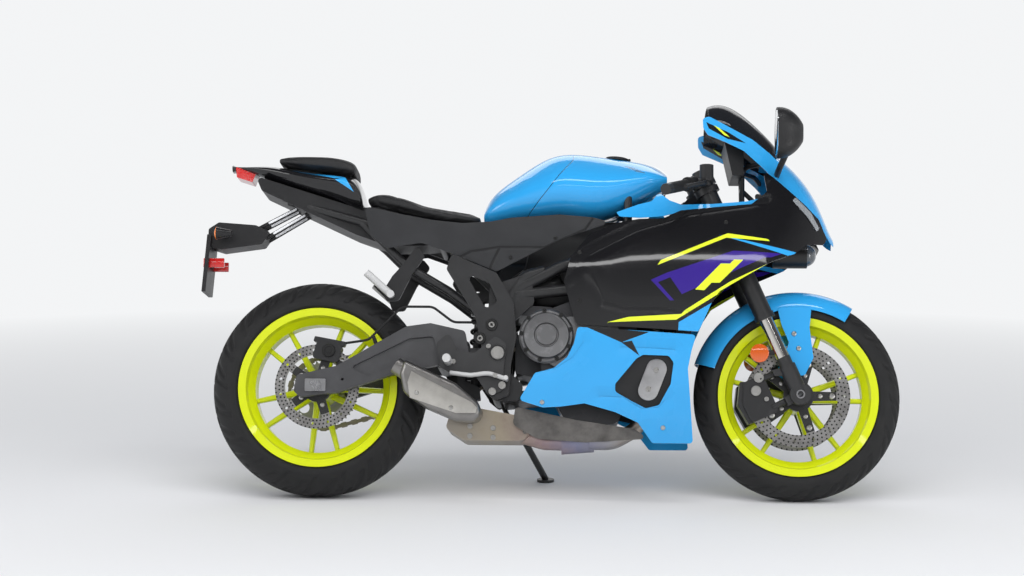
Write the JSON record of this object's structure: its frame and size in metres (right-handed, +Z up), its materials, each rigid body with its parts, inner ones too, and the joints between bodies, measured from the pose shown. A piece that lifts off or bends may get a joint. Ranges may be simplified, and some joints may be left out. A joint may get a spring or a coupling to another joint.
{
  "type": "sport bike",
  "caption": "Faired sport bike on its side stand, with turning wheels, steering, fold-up stand and hinged filler lid.",
  "frame": {"origin": "on the floor, below the middle of the whole bike as it stands leaning on its side stand", "axes": "+X forward, +Y to the rider's left, +Z up; the bike leans 14 degrees to +Y"},
  "size_m": [2.0469, 0.7518, 1.1457],
  "materials": {
    "blue_paint": "gloss sky-blue paint",
    "black_gloss": "gloss black",
    "grey_matt": "matt dark grey moulded covers",
    "black_matt": "matt black plastic",
    "frame_black": "satin black paint",
    "engine_metal": "dark engine paint",
    "steel": "brushed steel",
    "exhaust_steel": "heat-tinted steel",
    "chrome": "hard-chromed tube",
    "wheel_lime": "fluorescent yellow-green paint",
    "tyre_rubber": "black tyre rubber",
    "grip_rubber": "black rubber",
    "seat_cover": "black grained seat cover",
    "smoke_screen": "dark smoked screen",
    "clear_lens": "clear lens",
    "red_lens": "red lens",
    "amber_lens": "amber lens",
    "chain_steel": "oiled chain steel"
  },
  "bodies": {
    "chassis": {"frame": "frame_black", "subframe": "frame_black", "engine": "engine_metal", "clutch_cover": "engine_metal", "generator_cover": "engine_metal", "radiator": "frame_black", "exhaust_pipes": "exhaust_steel", "muffler": "frame_black", "heat_shield": "frame_black", "swingarm": "frame_black", "rear_axle": "steel", "shock_absorber": "steel", "chain": "chain_steel", "fuel_tank": "blue_paint", "tank_cowls": "blue_paint", "rider_seat": "seat_cover", "pillion_seat": "seat_cover", "tail_cowl": "blue_paint", "undertail": "black_matt", "tail_light": "red_lens", "plate_holder": "black_matt", "rear_indicators": "amber_lens", "side_covers": "grey_matt", "pivot_covers": "grey_matt", "upper_fairing_right": "black_gloss", "upper_fairing_left": "black_gloss", "lower_fairing_right": "blue_paint", "lower_fairing_left": "blue_paint", "nose_cowl": "blue_paint", "windscreen": "smoke_screen", "headlight": "clear_lens", "running_lights": "clear_lens", "instrument_panel": "black_matt", "fairing_stay": "frame_black", "mirrors": "black_matt", "rearset_right": "frame_black", "rearset_left": "frame_black", "passenger_hangers": "frame_black", "rear_caliper": "frame_black", "brake_hoses": "grip_rubber"},
    "steering": {"triple_clamps": "frame_black", "fork_tubes": "frame_black", "fork_sliders": "chrome", "front_axle": "steel", "front_calipers": "frame_black", "front_fender": "blue_paint", "handlebars": "frame_black", "grips": "grip_rubber", "hand_controls": "frame_black"},
    "front_wheel": {"front_rim": "wheel_lime", "front_tyre": "tyre_rubber", "front_discs": "steel"},
    "rear_wheel": {"rear_rim": "wheel_lime", "rear_tyre": "tyre_rubber", "rear_disc": "steel", "rear_sprocket": "steel"},
    "side_stand": {"side_stand": "frame_black"},
    "fuel_cap": {"fuel_cap": "black_matt"}
  },
  "joints": [
    {"name": "steering", "type": "hinge", "parent": "chassis", "child": "steering", "pos_m": [0.68714, -0.14575, 0.27716], "axis": [-0.4067, 0.221, 0.8864], "range_deg": [-30, 30]},
    {"name": "front_wheel_turn", "type": "hinge", "parent": "steering", "child": "front_wheel", "pos_m": [0.7235, -0.14183, 0.29287], "axis": [0, 0.9703, -0.2419], "continuous": true},
    {"name": "rear_wheel_turn", "type": "hinge", "parent": "chassis", "child": "rear_wheel", "pos_m": [-0.6715, -0.13798, 0.30832], "axis": [0, 0.9703, -0.2419], "continuous": true},
    {"name": "side_stand_fold", "type": "hinge", "parent": "chassis", "child": "side_stand", "pos_m": [-0.1015, -0.03453, 0.19414], "axis": [0.0861, 0.8396, 0.5363], "range_deg": [0, 105]},
    {"name": "fuel_cap_hinge", "type": "hinge", "parent": "chassis", "child": "fuel_cap", "pos_m": [0.23475, 0.02907, 0.9783], "axis": [0, 0.9703, -0.2419], "range_deg": [0, 95]}
  ]
}
